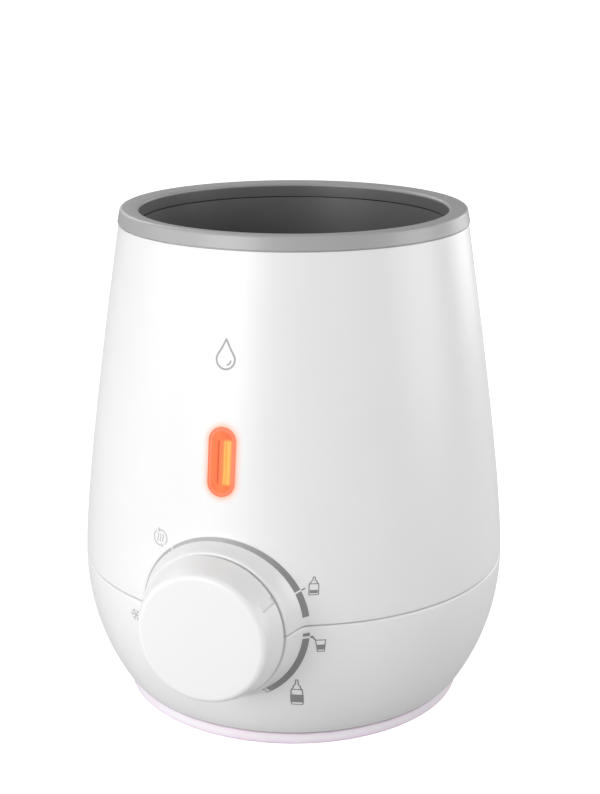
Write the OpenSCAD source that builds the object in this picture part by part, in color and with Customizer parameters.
// Bottle warmer: a round heated well in a two-part housing, with a dial thermostat.
// +Z is up, the dial faces -Y, and the origin is the centre of the foot's underside.
// All sizes are in millimetres and degrees.

/* [Housing] */
// Outside radius at the waist, where the housing is widest
body_r = 64; // [62:0.5:80]
// Height of the waist above the table
waist_z = 42; // [38:0.5:46]
// Outside radius at the top edge, under the rim
top_r = 51.2; // [50.6:0.1:62]
// Height of the housing's top edge
housing_top_z = 143.5; // [118:0.5:175]
// Outside radius at the bottom edge, above the foot
base_r = 52.5; // [52.5:0.5:56]
// Wall thickness of both housings
housing_wall = 2.2; // [1.6:0.1:2.8]
// Height of the joint line between the two housings
seam_z = 43; // [40:0.5:46]
// Open gap along the joint line
seam_gap = 0.4; // [0.2:0.1:0.8]
// Height of the tongue that locates the upper housing on the lower one
tongue_h = 3.5; // [2:0.5:6]

/* [Housing curve] */
// Length over which the side above the waist stays nearly upright
upper_bulge = 23.6; // [16:0.1:30]
// Length over which the side below the waist stays nearly upright
lower_bulge = 13.5; // [8:0.1:18]
// How far the lower curve's handle reaches out from the bottom edge
base_lean_out = 7.5; // [4:0.1:9]
// How far the lower curve's handle reaches up from the bottom edge
base_lean_up = 11.2; // [6:0.1:14]

/* [Rim and well] */
// Radius of the opening in the rim
mouth_r = 45.6; // [44.5:0.1:46.2]
// Height of the rim above the housing's top edge
rim_h = 4.5; // [3.5:0.1:7]
// Inside radius of the well just above its floor
well_foot_r = 40.5; // [39:0.1:41]
// Height of the well's floor above the table
floor_z = 29; // [28:0.5:34]
// Wall thickness of the well liner
liner_wall = 1.6; // [1.2:0.1:2]
// Corner radius between the well's wall and its floor
well_fillet_r = 6; // [3:0.5:6]
// Width of the liner's floor between its wall and its round hole
liner_floor_w = 6.5; // [6.5:0.5:9.5]

/* [Foot and base] */
// Outside radius of the soft foot ring
foot_r = 51.4; // [50:0.1:52]
// Height of the foot ring
foot_h = 4.2; // [4:0.1:6]
// Width of the foot ring's flat underside
foot_width = 3.9; // [3:0.1:4.2]
// Thickness of the base plate
base_plate_t = 2; // [1.5:0.1:2.2]
// Number of cooling slots in the base plate
vent_count = 10; // [6:1:14]

/* [Dial] */
// Height of the dial's axis
dial_z = 43; // [41:0.5:46]
// Radius of the knob's face
knob_face_r = 18.8; // [17:0.1:19.4]
// Radius of the knob where it meets the housing
knob_base_r = 20.7; // [19.6:0.1:21]
// Depth of the knob from its face to its rear edge
knob_depth = 8.9; // [7:0.1:12]
// Wall thickness of the knob
knob_wall = 2; // [1.6:0.1:2.4]
// Radius of the raised pad behind the knob, at its flat front
pad_r = 21.6; // [21.2:0.1:23]
// How far the pad stands out from the housing's front
pad_rise = 3.5; // [2.5:0.1:5]
// Gap between the pad and the knob
knob_gap = 0.6; // [0.4:0.1:1]
// Radius of the thermostat's spindle
spindle_r = 3; // [2.5:0.1:3.4]
// Angle of the knob's pointer at rest, from +X, seen from the front
pointer_deg = 27; // [0:1:60]

/* [Indicator window] */
// Height of the window's centre
window_z = 87.5; // [80:0.5:96]
// Overall height of the window
window_h = 19; // [14:0.5:22]
// Width of the window
window_w = 7.9; // [6:0.1:9]

/* [Thermostat] */
// Width of the thermostat's case
thermostat_w = 24; // [20:0.5:25]
// Depth of the thermostat's case
thermostat_d = 12.4; // [9:0.1:12.8]
// Height of the thermostat's case
thermostat_h = 23.6; // [20:0.2:23.8]
// Thickness of the steel bracket
bracket_t = 1.2; // [1:0.1:1.5]

/* [Mains inlet] */
// Height of the inlet's axis at the rear
gland_z = 16; // [15:0.5:18]
// Radius of the bore for the mains lead
gland_bore_r = 3.3; // [2.6:0.1:3.8]
// Wall thickness of the gland around its bore
gland_wall = 1.9; // [1.4:0.1:2]

/* [Hidden] */

$fn = 96;
// A hair's breadth that carries a cut past a face
eps = 0.1;
// Clearance round a piece that drops into its place
fit_gap = 0.3;
// Radial clearance of a screw in its hole
screw_gap = 0.05;
// Radial running clearance of the spindle in its bush
running_gap = 0.05;

// Small self-tapping screws: head and shank, and the post that takes one
head_r = 2.7;
head_h = 1.6;
shank_r = 1.4;
post_r = 3.3;

// Curve handles of the housing's side, each a cubic from the waist outwards
upper_curve = [[body_r, waist_z], [body_r, waist_z + upper_bulge],
    [top_r, housing_top_z], [top_r, housing_top_z]];
lower_curve = [[body_r, waist_z], [body_r, waist_z - lower_bulge],
    [base_r + base_lean_out, foot_h + base_lean_up], [base_r, foot_h]];
side_steps = 10;

function bezier(p, t) = pow(1 - t, 3) * p[0] + 3 * t * pow(1 - t, 2) * p[1]
    + 3 * t * t * (1 - t) * p[2] + pow(t, 3) * p[3];
// Curve position at height z, found by halving
function curve_at(p, z, low = 0, high = 1, tries = 24) =
    let (mid = (low + high) / 2, rising = p[3].y > p[0].y, found = bezier(p, mid).y)
    tries == 0 ? mid
    : (found < z) == rising ? curve_at(p, z, mid, high, tries - 1)
    : curve_at(p, z, low, mid, tries - 1);
// Outside radius of the housing at height z
function wall_r(z) = z >= waist_z ? bezier(upper_curve, curve_at(upper_curve, z)).x
    : bezier(lower_curve, curve_at(lower_curve, z)).x;
function arc(centre, r, from, to, steps = 8) =
    [for (i = [0:steps]) let (a = from + (to - from) * i / steps)
        centre + r * [cos(a), sin(a)]];
// Side of the housing between two heights, moved inwards by inset
function side(from, to, inset = 0, steps = side_steps) =
    [for (i = [0:steps]) let (z = from + (to - from) * i / steps) [wall_r(z) - inset, z]];

// Joint line between the housings: edges, tongue and the rebate that takes it
seam_low = seam_z - seam_gap / 2;
seam_high = seam_z + seam_gap / 2;
tongue_top = seam_z + tongue_h;
tongue_inset = housing_wall / 2 + 0.15;
rebate_inset = housing_wall / 2;
rebate_top = tongue_top + fit_gap;

// Rim and liner
liner_top_z = housing_top_z - fit_gap;
liner_top_r = mouth_r - 0.4;
liner_bend_z = floor_z + well_fillet_r;
function liner_r(z) = well_foot_r + (liner_top_r - well_foot_r)
    * (z - liner_bend_z) / (liner_top_z - liner_bend_z);
liner_floor_t = 1.8;
liner_hole_r = well_foot_r - liner_floor_w;
ledge_t = 2;
liner_flange_t = 1.9;
rim_rib_h = 2;
liner_flange_z = housing_top_z - rim_rib_h - liner_flange_t;
bore_top_r = top_r - housing_wall;

// Heater stack, from the well's floor downwards
seal_t = 1.5;
plate_t = 1.8;
seal_z = floor_z - liner_floor_t - seal_t;
plate_flange_z = seal_z - plate_t;
plate_flange_r = well_foot_r - 2;
plate_pan_r = liner_hole_r - 0.4;
pan_under_z = floor_z - plate_t;
element_inset = 9.6;
element_r = plate_pan_r - element_inset;
element_tube_r = 2.4;
element_z = pan_under_z - element_tube_r - 0.05;
element_sweep = 300;
element_pin_l = 9;
clamp_t = 1.6;
clamp_z = element_z - element_tube_r - clamp_t;
clamp_inset = 3.6;
clamp_r = plate_pan_r - clamp_inset;
clamp_post_share = 0.44;
clamp_post_angles = [90, 210, 330];
retainer_t = 1.6;
retainer_z = plate_flange_z - retainer_t;
lug_at = well_foot_r + 4.9;
lug_h = 12;
lug_angles = [90, 200, 340];
cutout_r = 8;
cutout_h = 6;
cutout_tab_x = 4.5;
// The clamp's studs stand between the cutout and the heating element
clamp_post_at = cutout_r + clamp_post_share * (element_r - element_tube_r - cutout_r);

// Base
plate_top_z = foot_h - 0.2;
plate_bottom_z = plate_top_z - base_plate_t;
base_plate_r = foot_r - 2.1;
base_flange_t = 2;
base_flange_in_r = base_plate_r - 8;
base_post_at = base_flange_in_r + 3;
base_post_h = 10;
base_screw_angles = [0, 120, 240];
upper_post_h = 14;
housing_post_gap = 1.15;
housing_post_at = liner_r(seam_high + upper_post_h) + liner_wall + housing_post_gap + post_r;
housing_screw_angles = [45, 135, 225, 315];
post_sleeve_r = 4.3;
post_sleeve_z = floor_z - 5;
sleeve_bore_r = head_r + fit_gap;
screw_seat_z = 18;

// Dial, measured from the object's axis towards the front
pad_y = wall_r(dial_z) + pad_rise;
pad_flare = 4.5;
knob_rear_y = pad_y + knob_gap;
knob_face_y = knob_rear_y + knob_depth;
hub_r = 6;
hub_bore_y = knob_face_y - knob_wall;
pad_bore_r = hub_r + 2;
notch_w = 2.4;
notch_l = 3.2;
notch_d = 1.2;
wall_in_y = wall_r(dial_z) - housing_wall;
nut_t = 2.4;
nut_r = 7;
nut_clear = 0.8;
bracket_foot_z = dial_z - thermostat_h / 2 - 0.1;
// Front of the bracket, where its lower corners would near the wall
bracket_room_y = sqrt(pow(wall_r(bracket_foot_z - bracket_t) - housing_wall - 0.5, 2)
    - pow(thermostat_w / 2, 2));
nut_y = min(wall_in_y - nut_clear - nut_t, bracket_room_y);
bracket_y = nut_y - bracket_t;
thermostat_y = bracket_y - thermostat_d;
bush_r = 4.8;
bush_end_y = wall_r(dial_z);
bracket_post_x = thermostat_w / 2 + 4;
bracket_post_y = bracket_y - 7.4;
tab_t = 0.8;
tab_w = 5;
tab_l = 5;
thermostat_tab_z = dial_z - 5;

// Indicator
window_wall_r = wall_r(window_z);
lens_proud = 0.2;
lens_flange_t = 1.2;
lens_flange_w = 1.5;
lamp_r = 2.6;
lamp_l = 14;
lamp_gap = 0.05;
lamp_stand = 3.5;
// The lamp stands just behind the lens, where the wall leans in most over its length
lamp_y = wall_r(window_z + lamp_l / 2) - housing_wall - lens_flange_t - lamp_gap - lamp_r;
board_t = 1.6;
board_w = 22;
board_h = 27;
board_y = lamp_y - lamp_stand - board_t;
board_post_x = 8.4;
board_post_r = 2.2;

// Inlet
gland_r = gland_bore_r + gland_wall;
gland_flange_r = gland_r + 2.2;
gland_flange_t = 2.2;
gland_seat_y = wall_r(gland_z - gland_flange_r) - 0.4;
gland_seat_t = 4.5;
gland_barb_t = 2;
pocket_r = gland_flange_r + 0.8;

// Wiring
block_w = 26;
block_d = 10;
block_h = 10;
block_y = 24;
pole_pitch = 8;
lead_r = 1.2;
lamp_lead_r = 0.7;
lead_z = plate_top_z + 5.5;

// Copies the children to each of the angles, at a distance from the axis
module spread(angles, at) {
    for (a = angles) rotate(a) translate([at, 0, 0]) children();
}
// Turns a piece drawn along +Z so that it points to the front, at the dial's height
module to_front(z) {
    translate([0, 0, z]) rotate([90, 0, 0]) children();
}
module to_rear(z) {
    translate([0, 0, z]) rotate([-90, 0, 0]) children();
}
module tube(outer, inner, h) {
    difference() {
        cylinder(r = outer, h = h);
        translate([0, 0, -eps]) cylinder(r = inner, h = h + 2 * eps);
    }
}
// Screw with its head on the ground and its shank upwards
module screw(length) {
    difference() {
        union() {
            cylinder(r = head_r, h = head_h, $fn = 32);
            cylinder(r = shank_r, h = head_h + length, $fn = 32);
        }
        for (a = [0, 90]) rotate(a)
            translate([-1.6, -0.35, -eps]) cube([3.2, 0.7, 0.8 + eps]);
    }
}
// Upright oblong with round ends, standing on the ground plane
module oblong(w, l, h) {
    for (s = [-1, 1]) translate([0, s * (l - w) / 2, 0]) cylinder(r = w / 2, h = h, $fn = 48);
    translate([-w / 2, -(l - w) / 2, 0]) cube([w, l - w, h]);
}
// Everything inside the housing's outline, less an inset
module envelope(inset = 0) {
    rotate_extrude() polygon(concat([[0, foot_h]], side(foot_h, waist_z, inset),
        side(waist_z, housing_top_z, inset), [[0, housing_top_z]]));
}
module below(z) {
    translate([0, 0, z - 200]) cylinder(r = 120, h = 200);
}
module above(z) {
    translate([0, 0, z]) cylinder(r = 120, h = 200);
}
// Raised round pad behind the knob, without its bore
module dial_pad() {
    to_front(dial_z) translate([0, 0, wall_in_y - 4])
        cylinder(r1 = pad_r + pad_flare, r2 = pad_r, h = pad_y - wall_in_y + 4);
}
module dial_bore() {
    to_front(dial_z) translate([0, 0, wall_in_y - 20])
        cylinder(r = pad_bore_r, h = 60);
}
// Round tube along a cubic from a to b, leaving along out_a and arriving along out_b
module lead(a, out_a, b, out_b, r = lead_r, up = [0, 0, 1], rings = 18, sides = 8) {
    curve = [a, a + out_a, b + out_b, b];
    rows = [for (i = [0:rings])
        let (t = i / rings, p = bezier(curve, t),
            ahead = bezier(curve, min(1, t + 0.01)) - bezier(curve, max(0, t - 0.01)),
            across = cross(ahead, up) / norm(cross(ahead, up)),
            over = cross(across, ahead) / norm(ahead))
        [for (k = [0:sides - 1]) p + r * (cos(360 * k / sides) * across
            + sin(360 * k / sides) * over)]];
    polyhedron(
        points = [for (row = rows) each row],
        faces = concat(
            [[for (k = [0:sides - 1]) k]],
            [for (i = [0:rings - 1]) for (k = [0:sides - 1])
                let (n = (k + 1) % sides)
                [i * sides + k, (i + 1) * sides + k, (i + 1) * sides + n, i * sides + n]],
            [[for (k = [sides - 1:-1:0]) rings * sides + k]]));
}

module foot_ring() {
    color("mistyrose", 0.7) union() {
        tube(foot_r, foot_r - foot_width, plate_bottom_z);
        tube(foot_r, base_plate_r + 0.1, foot_h);
    }
}
module base_plate() {
    color("gainsboro") difference() {
        translate([0, 0, plate_bottom_z]) cylinder(r = base_plate_r, h = base_plate_t);
        spread(base_screw_angles, base_post_at) {
            cylinder(r = shank_r + screw_gap, h = foot_h, $fn = 32);
            cylinder(r = head_r + fit_gap, h = plate_bottom_z + 0.8, $fn = 32);
        }
        spread([for (i = [0:vent_count - 1]) (i + 0.5) * 360 / vent_count], 0)
            translate([20, -1.1, 0]) cube([12, 2.2, foot_h]);
    }
}
module base_screws() {
    color("silver") spread(base_screw_angles, base_post_at)
        translate([0, 0, plate_bottom_z + 0.8 - head_h]) screw(base_post_h - 2);
}
// Outline of the housing with the pad behind the knob
module outside() {
    envelope();
    dial_pad();
}
module lower_hollow() {
    rotate_extrude() polygon(concat(
        [[0, 0], [base_flange_in_r, 0], [base_flange_in_r, foot_h + base_flange_t]],
        side(foot_h + base_flange_t, tongue_top + 1, housing_wall, side_steps),
        [[0, tongue_top + 1]]));
}
// Room inside the upper housing, with the rebate for the tongue and the liner's ledge
module upper_hollow() {
    ledge_in_r = liner_r(liner_flange_z) + liner_wall + fit_gap;
    ledge_z = liner_flange_z - ledge_t;
    rotate_extrude() polygon(concat(
        [[0, seam_low - 1]], side(seam_low - 1, rebate_top, rebate_inset, 2),
        side(rebate_top, ledge_z, housing_wall),
        [[ledge_in_r, ledge_z], [ledge_in_r, liner_flange_z], [bore_top_r, liner_flange_z],
            [bore_top_r, housing_top_z + 1], [0, housing_top_z + 1]]));
}
module lower_posts() {
    spread(base_screw_angles, base_post_at)
        translate([0, 0, foot_h + 0.5]) cylinder(r = post_r, h = base_post_h, $fn = 48);
    spread(housing_screw_angles, housing_post_at) translate([0, 0, foot_h + 0.5]) {
        cylinder(r = post_sleeve_r, h = post_sleeve_z - foot_h, $fn = 48);
        cylinder(r = post_r, h = seam_low - foot_h - 0.5, $fn = 48);
    }
    for (s = [-1, 1]) translate([s * bracket_post_x, -bracket_post_y, foot_h + 0.5])
        cylinder(r = post_r, h = bracket_foot_z - bracket_t - foot_h - 0.5, $fn = 48);
    to_rear(gland_z) translate([0, 0, gland_seat_y - gland_seat_t])
        cylinder(r = pocket_r + 2, h = 30);
}
module lower_housing() {
    color("white") difference() {
        union() {
            difference() {
                union() {
                    intersection() {
                        outside();
                        below(seam_low);
                    }
                    rotate_extrude() polygon(concat([[0, seam_low - 4]],
                        side(seam_low - 4, tongue_top, tongue_inset, 2), [[0, tongue_top]]));
                }
                lower_hollow();
            }
            intersection() {
                envelope(0.3);
                lower_posts();
            }
        }
        dial_bore();
        spread(base_screw_angles, base_post_at)
            cylinder(r = shank_r + screw_gap, h = foot_h + base_post_h - 1, $fn = 32);
        spread(housing_screw_angles, housing_post_at) {
            cylinder(r = shank_r + screw_gap + 0.3, h = seam_z, $fn = 32);
            cylinder(r = sleeve_bore_r, h = screw_seat_z, $fn = 32);
        }
        for (s = [-1, 1]) translate([s * bracket_post_x, -bracket_post_y, bracket_foot_z - 10])
            cylinder(r = shank_r + screw_gap, h = 10, $fn = 32);
        to_rear(gland_z) {
            translate([0, 0, gland_seat_y]) cylinder(r = pocket_r, h = 30);
            translate([0, 0, gland_seat_y - 20]) cylinder(r = gland_r + 0.1, h = 30);
        }
    }
}
module upper_posts() {
    spread(housing_screw_angles, housing_post_at) translate([0, 0, seam_high]) {
        cylinder(r = post_r, h = upper_post_h, $fn = 48);
        translate([0, -1, tongue_h + 1]) cube([body_r - housing_post_at, 2, 12 - tongue_h]);
    }
    for (s = [-1, 1]) translate([s * board_post_x, 0, 0]) to_front(window_z)
        translate([0, 0, board_y + board_t]) cylinder(r = board_post_r, h = 30, $fn = 32);
}
module upper_housing() {
    color("white") difference() {
        union() {
            difference() {
                intersection() {
                    outside();
                    above(seam_high);
                }
                upper_hollow();
            }
            intersection() {
                envelope(0.3);
                upper_posts();
            }
        }
        dial_bore();
        to_front(window_z) translate([0, 0, window_wall_r - 8])
            oblong(window_w, window_h, 20);
        spread(housing_screw_angles, housing_post_at)
            cylinder(r = shank_r + screw_gap, h = seam_z + 12, $fn = 32);
        for (s = [-1, 1]) translate([s * board_post_x, 0, 0]) to_front(window_z)
            translate([0, 0, board_y]) cylinder(r = 1.05, h = board_t + 5, $fn = 32);
    }
}
module housing_screws() {
    color("silver") spread(housing_screw_angles, housing_post_at)
        translate([0, 0, screw_seat_z - head_h]) screw(seam_z + 10 - screw_seat_z);
}
module top_ring() {
    out_r = top_r + 0.3;
    top_z = housing_top_z + rim_h;
    outer_arc_r = 3;
    inner_arc_r = 1.6;
    color("darkgray") rotate_extrude() polygon(concat(
        [[mouth_r - 0.2, housing_top_z], [liner_top_r + liner_wall + fit_gap, housing_top_z],
            [liner_top_r + liner_wall + fit_gap, housing_top_z - rim_rib_h],
            [bore_top_r - 0.2, housing_top_z - rim_rib_h], [bore_top_r - 0.2, housing_top_z],
            [out_r, housing_top_z]],
        arc([out_r - 0.6 - outer_arc_r, top_z - outer_arc_r], outer_arc_r, 0, 84),
        arc([mouth_r - 0.1 + inner_arc_r, top_z - 0.4 - inner_arc_r], inner_arc_r, 100, 180)));
}
module well_liner() {
    color("dimgray") difference() {
        union() {
            rotate_extrude() polygon(concat(
                [[liner_hole_r, floor_z - liner_floor_t],
                    [well_foot_r + liner_wall - 3, floor_z - liner_floor_t],
                    [well_foot_r + liner_wall, floor_z + 2],
                    [well_foot_r + liner_wall, liner_bend_z],
                    [liner_top_r + liner_wall, liner_top_z],
                    [liner_top_r, liner_top_z]],
                arc([well_foot_r - well_fillet_r, liner_bend_z], well_fillet_r, 0, -90),
                [[liner_hole_r, floor_z]]));
            translate([0, 0, liner_flange_z]) tube(bore_top_r - fit_gap,
                liner_r(liner_flange_z) + 0.8, liner_flange_t);
            intersection() {
                spread(lug_angles, lug_at) translate([0, 0, plate_flange_z]) {
                    cylinder(r = post_r, h = lug_h, $fn = 48);
                    translate([-4.2, -post_r, 0]) cube([4.2, 2 * post_r, lug_h]);
                }
                difference() {
                    cylinder(r = lug_at + post_r, h = 80);
                    translate([0, 0, -eps]) cylinder(r = well_foot_r + 0.6, h = 81);
                }
            }
        }
        spread(lug_angles, lug_at) translate([0, 0, plate_flange_z - eps])
            cylinder(r = shank_r + screw_gap, h = lug_h - 2, $fn = 32);
    }
}
module plate_seal() {
    color("indianred") translate([0, 0, seal_z])
        tube(plate_flange_r, liner_hole_r + 0.4, seal_t);
}
module heater_plate() {
    color("lightgray") difference() {
        union() {
            difference() {
                union() {
                    translate([0, 0, plate_flange_z]) cylinder(r = plate_flange_r, h = plate_t);
                    translate([0, 0, plate_flange_z])
                        cylinder(r = plate_pan_r, h = floor_z - plate_flange_z);
                }
                translate([0, 0, plate_flange_z - 1])
                    cylinder(r = plate_pan_r - plate_t, h = pan_under_z - plate_flange_z + 1);
            }
            // Studs that carry the clamp
            spread(clamp_post_angles, clamp_post_at) translate([0, 0, clamp_z + clamp_t])
                cylinder(r = post_r, h = pan_under_z - clamp_z - clamp_t + 0.5, $fn = 48);
        }
        spread(clamp_post_angles, clamp_post_at)
            cylinder(r = shank_r + screw_gap, h = pan_under_z + 0.4, $fn = 32);
    }
}
module plate_retainer() {
    color("silver") difference() {
        union() {
            translate([0, 0, retainer_z]) tube(well_foot_r, plate_pan_r - 1, retainer_t);
            translate([0, 0, retainer_z]) spread(lug_angles, lug_at) {
                cylinder(r = post_r + 0.4, h = retainer_t, $fn = 48);
                translate([-7, -post_r - 0.4, 0]) cube([7, 2 * post_r + 0.8, retainer_t]);
            }
        }
        spread(lug_angles, lug_at) cylinder(r = shank_r + screw_gap, h = 60, $fn = 32);
    }
}
module retainer_screws() {
    color("silver") spread(lug_angles, lug_at)
        translate([0, 0, retainer_z - head_h]) screw(retainer_t + lug_h - 3);
}
module heating_element() {
    gap = (360 - element_sweep) / 2;
    color("slategray") translate([0, 0, element_z]) {
        rotate(gap - 90) rotate_extrude(angle = element_sweep)
            translate([element_r, 0]) circle(r = element_tube_r, $fn = 32);
        // Ceramic sleeves on the cold ends, and the pins below them
        for (s = [-1, 1]) rotate(s * gap - 90) translate([element_r, 0, 0]) {
            translate([0, 0, -3.4]) cylinder(r = element_tube_r + 0.6, h = 5.4, $fn = 32);
            translate([0, 0, -element_pin_l]) cylinder(r = 1.5, h = element_pin_l, $fn = 32);
        }
    }
}
module element_clamp() {
    color("silver") difference() {
        translate([0, 0, clamp_z]) cylinder(r = clamp_r, h = clamp_t);
        spread(clamp_post_angles, clamp_post_at) cylinder(r = shank_r + screw_gap, h = 60, $fn = 32);
        for (s = [-1, 1]) rotate(s * (360 - element_sweep) / 2 - 90)
            translate([element_r, 0, 0]) cylinder(r = element_tube_r + 0.9, h = 60, $fn = 32);
    }
}
module clamp_screws() {
    color("silver") spread(clamp_post_angles, clamp_post_at)
        translate([0, 0, clamp_z - head_h]) screw(clamp_t + pan_under_z - clamp_z - clamp_t - 1);
}
module thermal_cutout() {
    color("saddlebrown") translate([0, 0, clamp_z - cutout_h]) {
        cylinder(r = cutout_r, h = cutout_h, $fn = 48);
        for (s = [-1, 1]) translate([s * cutout_tab_x - tab_t / 2, -tab_w / 2, -tab_l])
            cube([tab_t, tab_w, tab_l + 1]);
    }
}
module thermostat_body() {
    color("ivory") difference() {
        union() {
            translate([-thermostat_w / 2, -bracket_y, dial_z - thermostat_h / 2])
                cube([thermostat_w, thermostat_d, thermostat_h]);
            to_front(dial_z) translate([0, 0, bracket_y - 1])
                cylinder(r = bush_r, h = bush_end_y - bracket_y + 1);
            for (s = [-1, 1]) translate([s * (thermostat_w / 2 + tab_l / 2 - 0.5),
                    -bracket_y + thermostat_d / 2, thermostat_tab_z])
                cube([tab_l + 1, tab_w, tab_t], center = true);
        }
        to_front(dial_z) translate([0, 0, thermostat_y + 4])
            cylinder(r = spindle_r + running_gap, h = 60, $fn = 48);
    }
}
module thermostat_bracket() {
    half_w = thermostat_w / 2;
    foot_out = bracket_post_x + post_r;
    color("silver") difference() {
        union() {
            translate([-half_w, -bracket_y - bracket_t, bracket_foot_z - bracket_t])
                cube([thermostat_w, bracket_t, thermostat_h + bracket_t]);
            translate([-half_w, -bracket_y - bracket_t, bracket_foot_z - bracket_t])
                cube([thermostat_w, thermostat_d, bracket_t]);
            translate([-foot_out, -bracket_post_y - post_r, bracket_foot_z - bracket_t])
                cube([2 * foot_out, 2 * post_r, bracket_t]);
        }
        to_front(dial_z) cylinder(r = bush_r + 0.1, h = 100);
        for (s = [-1, 1]) translate([s * bracket_post_x, -bracket_post_y, 0])
            cylinder(r = shank_r + screw_gap, h = 60, $fn = 32);
    }
}
module thermostat_nut() {
    color("goldenrod") to_front(dial_z) translate([0, 0, nut_y]) difference() {
        cylinder(r = nut_r, h = nut_t, $fn = 6);
        translate([0, 0, -eps]) cylinder(r = bush_r + 0.05, h = nut_t + 2 * eps);
    }
}
module bracket_screws() {
    color("silver") for (s = [-1, 1])
        translate([s * bracket_post_x, -bracket_post_y, bracket_foot_z + head_h])
            rotate([180, 0, 0]) screw(8);
}
module thermostat_spindle() {
    flat_y = pad_y - 1;
    color("gold") to_front(dial_z) difference() {
        translate([0, 0, thermostat_y + 4.5])
            cylinder(r = spindle_r, h = hub_bore_y - 0.2 - thermostat_y - 4.5, $fn = 48);
        translate([-5, spindle_r - 1, flat_y]) cube([10, 5, 30]);
    }
}
module control_knob() {
    soft = 1.4;
    inner_r = knob_base_r - knob_wall;
    rear = knob_rear_y;
    face = knob_face_y;
    color("white") to_front(dial_z) difference() {
        union() {
            difference() {
                rotate_extrude() polygon(concat(
                    [[0, rear], [knob_base_r, rear]],
                    arc([knob_face_r - soft, face - soft], soft, 12, 90),
                    [[0, face]]));
                translate([0, 0, rear - eps])
                    cylinder(r1 = inner_r, r2 = knob_face_r - knob_wall, h = face - knob_wall - rear + eps);
            }
            translate([0, 0, pad_y - 1]) cylinder(r = hub_r, h = face - pad_y);
        }
        difference() {
            translate([0, 0, pad_y - 2])
                cylinder(r = spindle_r + 0.03, h = hub_bore_y - pad_y + 2, $fn = 48);
            translate([-5, spindle_r - 1 + 0.03, pad_y - 3]) cube([10, 5, 30]);
        }
        // Pointer notch in the side wall
        rotate(pointer_deg) translate([knob_base_r - 1 - notch_d, -notch_w / 2, rear + 2.6])
            cube([4, notch_w, notch_l]);
    }
}
module indicator_lens() {
    back = window_wall_r - 8;
    color("orangered") union() {
        intersection() {
            to_front(window_z) translate([0, 0, back])
                oblong(window_w - 0.3, window_h - 0.3, 20);
            difference() {
                envelope(-lens_proud);
                envelope(housing_wall + 0.5);
            }
        }
        // Flange behind the wall
        intersection() {
            to_front(window_z) translate([0, 0, back])
                oblong(window_w + 2 * lens_flange_w, window_h + 2 * lens_flange_w, 20);
            difference() {
                envelope(housing_wall + 0.05);
                envelope(housing_wall + lens_flange_t);
            }
        }
    }
}
module indicator_lamp() {
    color("orange") {
        translate([0, -lamp_y, window_z - lamp_l / 2 + lamp_r])
            cylinder(r = lamp_r, h = lamp_l - 2 * lamp_r, $fn = 32);
        for (s = [-1, 1]) translate([0, -lamp_y, window_z + s * (lamp_l / 2 - lamp_r)]) {
            sphere(r = lamp_r, $fn = 32);
            rotate([-90, 0, 0]) cylinder(r = 0.5, h = lamp_y - board_y - board_t, $fn = 16);
        }
    }
}
module lamp_board() {
    color("darkgreen") difference() {
        translate([-board_w / 2, -board_y - board_t, window_z - board_h / 2])
            cube([board_w, board_t, board_h]);
        for (s = [-1, 1]) translate([s * board_post_x, 0, 0]) to_front(window_z)
            cylinder(r = 1.05, h = 100, $fn = 32);
    }
}
module board_screws() {
    color("silver") for (s = [-1, 1]) translate([s * board_post_x, -board_y, window_z])
        rotate([90, 0, 0]) {
            translate([0, 0, -1.2]) cylinder(r = 2, h = 1.2, $fn = 32);
            cylinder(r = 1, h = board_t + 4, $fn = 32);
        }
}
module terminal_block() {
    color("whitesmoke") difference() {
        translate([-block_w / 2, block_y, plate_top_z]) cube([block_w, block_d, block_h]);
        for (s = [-1:1]) {
            translate([s * pole_pitch, block_y + block_d / 2, plate_top_z + 4])
                cylinder(r = 1.8, h = block_h, $fn = 32);
            translate([s * pole_pitch, block_y - eps, lead_z]) rotate([-90, 0, 0])
                cylinder(r = lead_r + 0.3, h = block_d + 2 * eps, $fn = 32);
        }
    }
}
module terminal_screws() {
    color("goldenrod") for (s = [-1:1])
        translate([s * pole_pitch, block_y + block_d / 2, lead_z + lead_r + 0.1]) difference() {
            cylinder(r = 1.7, h = 2.6, $fn = 32);
            translate([-2, -0.3, 2]) cube([4, 0.6, 1]);
        }
}
module cord_gland() {
    seat = gland_seat_y;
    inner_face = seat - gland_seat_t;
    color("gainsboro") to_rear(gland_z) difference() {
        union() {
            translate([0, 0, inner_face - gland_barb_t])
                cylinder(r = gland_r, h = gland_seat_t + gland_barb_t);
            translate([0, 0, inner_face - gland_barb_t])
                cylinder(r1 = gland_r, r2 = gland_r + 0.9, h = gland_barb_t);
            translate([0, 0, seat]) cylinder(r = gland_flange_r, h = gland_flange_t);
        }
        translate([0, 0, inner_face - 20]) cylinder(r = gland_bore_r, h = 60);
    }
}
// Where a lead starts at the terminal block's front, for pole -1, 0 or 1
function pole(n) = [n * pole_pitch, block_y, lead_z];
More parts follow.
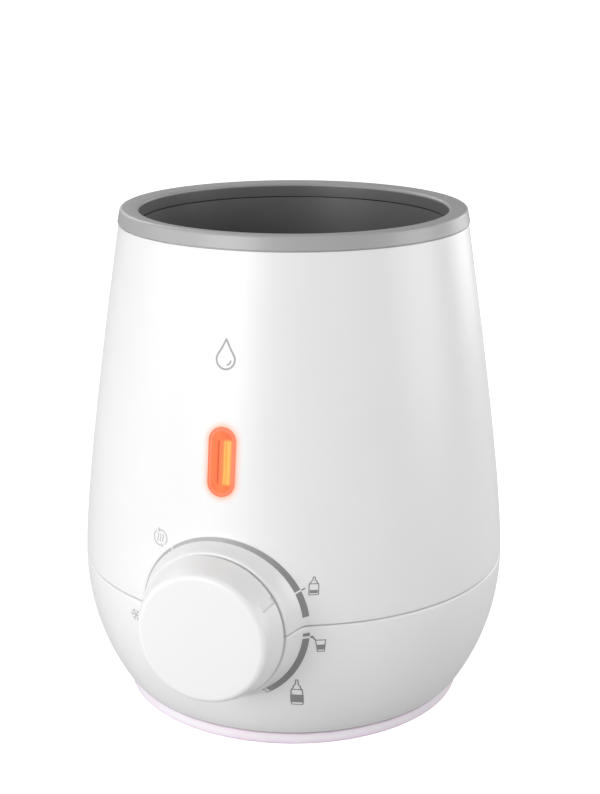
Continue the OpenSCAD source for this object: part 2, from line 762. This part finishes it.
// Where a lead ends beside a thermostat tab, on side -1 or 1
function thermostat_tab(s) = [s * (thermostat_w / 2 + tab_l + lead_r),
    -bracket_y + thermostat_d / 2, thermostat_tab_z];
// Where a lead ends beside a tab of the cutout
function cutout_tab(s) = [s * (cutout_tab_x + tab_t / 2 + lead_r), 0, clamp_z - cutout_h - 3];
// Lower end of one of the heating element's pins
function element_pin(s) = let (a = s * (360 - element_sweep) / 2 - 90)
    [element_r * cos(a), element_r * sin(a), element_z - element_pin_l];

module live_lead() {
    color("brown") lead(pole(-1), [-2, -30, 6], thermostat_tab(-1), [-18, -2, -24], up = [1, 0, 0]);
}
module switched_lead() {
    color("firebrick") lead(thermostat_tab(1), [12, 4, -30], cutout_tab(1), [14, -8, 4],
        up = [1, 0, 0.5]);
}
module element_lead() {
    color("firebrick") lead(cutout_tab(-1), [-6, -2, -2], element_pin(-1), [0, 0, -7],
        up = [0.5, 0.2, 1]);
}
module neutral_lead() {
    color("steelblue") lead(pole(1), [5, -16, -3], element_pin(1), [0, 0, -9], up = [1, 0, 0]);
}
module earth_lead() {
    color("yellowgreen") lead(pole(0), [0, -5, 0], [0, clamp_post_at + 5, clamp_z], [0, 0, -5],
        up = [1, 0, 0], rings = 10);
}
module lamp_leads() {
    top = [0, -board_y - board_t / 2, window_z - board_h / 2];
    bottom = [0, -bracket_y + 6, dial_z + thermostat_h / 2];
    color("dimgray") for (s = [-1, 1])
        lead(top + [s * 3, 0, 0], [0, 0, -8], bottom + [s * 5, 0, 0], [0, 0, 6],
            r = lamp_lead_r, up = [0, 1, 0], rings = 10, sides = 6);
}

foot_ring();
base_plate();
base_screws();
lower_housing();
upper_housing();
housing_screws();
top_ring();
well_liner();
plate_seal();
heater_plate();
plate_retainer();
retainer_screws();
heating_element();
element_clamp();
clamp_screws();
thermal_cutout();
thermostat_body();
thermostat_bracket();
thermostat_nut();
bracket_screws();
thermostat_spindle();
control_knob();
indicator_lens();
indicator_lamp();
lamp_board();
board_screws();
terminal_block();
terminal_screws();
cord_gland();
live_lead();
neutral_lead();
switched_lead();
element_lead();
earth_lead();
lamp_leads();
